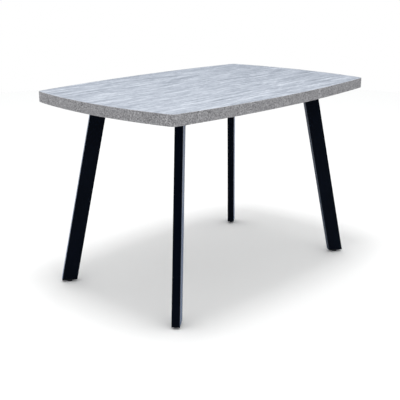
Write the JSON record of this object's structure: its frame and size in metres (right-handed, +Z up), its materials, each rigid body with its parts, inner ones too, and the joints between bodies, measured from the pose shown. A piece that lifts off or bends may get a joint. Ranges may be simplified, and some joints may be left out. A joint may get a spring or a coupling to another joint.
{
  "type": "extendable dining table",
  "caption": "Dining table with a bowed laminate top split across the middle; both halves slide apart in step over a stored folding leaf, on four splayed flat tube legs.",
  "frame": {"origin": "on the floor, under the middle of the closed top", "axes": "+X along the table's length, +Y across it towards the back, +Z up"},
  "size_m": [1.2, 0.78, 0.76],
  "materials": {
    "top_laminate": "satin laminate, light bluish grey wood grain",
    "edge_band": "matte plastic edge band, speckled grey",
    "strip_board": "plain melamine-faced chipboard",
    "black_steel": "fine-textured black powder coat",
    "aluminium": "mill-finish extrusion",
    "zinc_steel": "bright zinc plate",
    "beech": "planed beech, unfinished",
    "nylon": "natural nylon",
    "black_plastic": "moulded black plastic",
    "felt": "pressed felt"
  },
  "bodies": {
    "frame": {"back_left_leg": "black_steel", "back_rail": "aluminium", "back_right_leg": "black_steel", "centre_bar": "black_steel", "centre_bolts": "zinc_steel", "foot_plugs": "black_plastic", "front_left_leg": "black_steel", "front_rail": "aluminium", "front_right_leg": "black_steel", "gear_housing": "nylon", "gear_lid": "nylon", "gear_pin": "zinc_steel", "leaf_bar_angles": "zinc_steel", "leaf_bars": "zinc_steel", "leaf_dowels": "beech", "leaf_edge_bands": "edge_band", "leaf_felt_pads": "felt", "leaf_hinge_pins": "zinc_steel", "leaf_hinges": "zinc_steel", "leaf_lower_board": "top_laminate", "leaf_upper_board": "top_laminate", "left_end_bar": "black_steel", "leg_plates": "black_steel", "lid_screws": "zinc_steel", "plate_bolts": "zinc_steel", "right_end_bar": "black_steel"},
    "left_top": {"left_panel": "top_laminate", "left_edge_band": "edge_band", "left_end_strip": "strip_board", "left_side_strips": "strip_board", "left_runners": "aluminium", "left_spacers": "beech", "left_runner_screws": "zinc_steel", "left_rack": "nylon", "left_rack_bracket": "zinc_steel", "left_bracket_screws": "zinc_steel", "left_dowels": "beech", "left_lock_pivot": "zinc_steel", "left_lock_stud": "zinc_steel"},
    "right_top": {"right_panel": "top_laminate", "right_edge_band": "edge_band", "right_end_strip": "strip_board", "right_side_strips": "strip_board", "right_runners": "aluminium", "right_spacers": "beech", "right_runner_screws": "zinc_steel", "right_rack": "nylon", "right_rack_bracket": "zinc_steel", "right_bracket_screws": "zinc_steel", "right_dowels": "beech", "right_lock_pivot": "zinc_steel", "right_lock_stud": "zinc_steel"},
    "sync_gear": {"sync_pinion": "nylon"},
    "front_lock": {"front_lock_lever": "black_plastic"},
    "back_lock": {"back_lock_lever": "black_plastic"},
    "front_left_foot": {"front_left_glide": "black_plastic"},
    "front_right_foot": {"front_right_glide": "black_plastic"},
    "back_left_foot": {"back_left_glide": "black_plastic"},
    "back_right_foot": {"back_right_glide": "black_plastic"}
  },
  "joints": [
    {"name": "left_top_slide", "type": "slide", "parent": "frame", "child": "left_top", "axis": [-1, 0, 0], "range_m": [0, 0.215]},
    {"name": "right_top_slide", "type": "slide", "parent": "frame", "child": "right_top", "axis": [1, 0, 0], "range_m": [0, 0.215]},
    {"name": "sync_gear_spin", "type": "hinge", "parent": "frame", "child": "sync_gear", "pos_m": [0, 0, 0.6943], "axis": [0, 0, 1], "range_deg": [0, 616]},
    {"name": "front_lock_swing", "type": "hinge", "parent": "left_top", "child": "front_lock", "pos_m": [-0.03, -0.29, 0.732], "axis": [0, 0, 1], "range_deg": [-80, 0]},
    {"name": "back_lock_swing", "type": "hinge", "parent": "right_top", "child": "back_lock", "pos_m": [0.03, 0.29, 0.732], "axis": [0, 0, 1], "range_deg": [-80, 0]},
    {"name": "front_left_glide_height", "type": "slide", "parent": "frame", "child": "front_left_foot", "axis": [0, 0, -1], "range_m": [0, 0.01]},
    {"name": "front_right_glide_height", "type": "slide", "parent": "frame", "child": "front_right_foot", "axis": [0, 0, -1], "range_m": [0, 0.01]},
    {"name": "back_left_glide_height", "type": "slide", "parent": "frame", "child": "back_left_foot", "axis": [0, 0, -1], "range_m": [0, 0.01]},
    {"name": "back_right_glide_height", "type": "slide", "parent": "frame", "child": "back_right_foot", "axis": [0, 0, -1], "range_m": [0, 0.01]}
  ],
  "couplings": [
    {"joint": "right_top_slide", "follows": "left_top_slide", "ratio": 1},
    {"joint": "sync_gear_spin", "follows": "left_top_slide", "rad_per_m": 50}
  ]
}
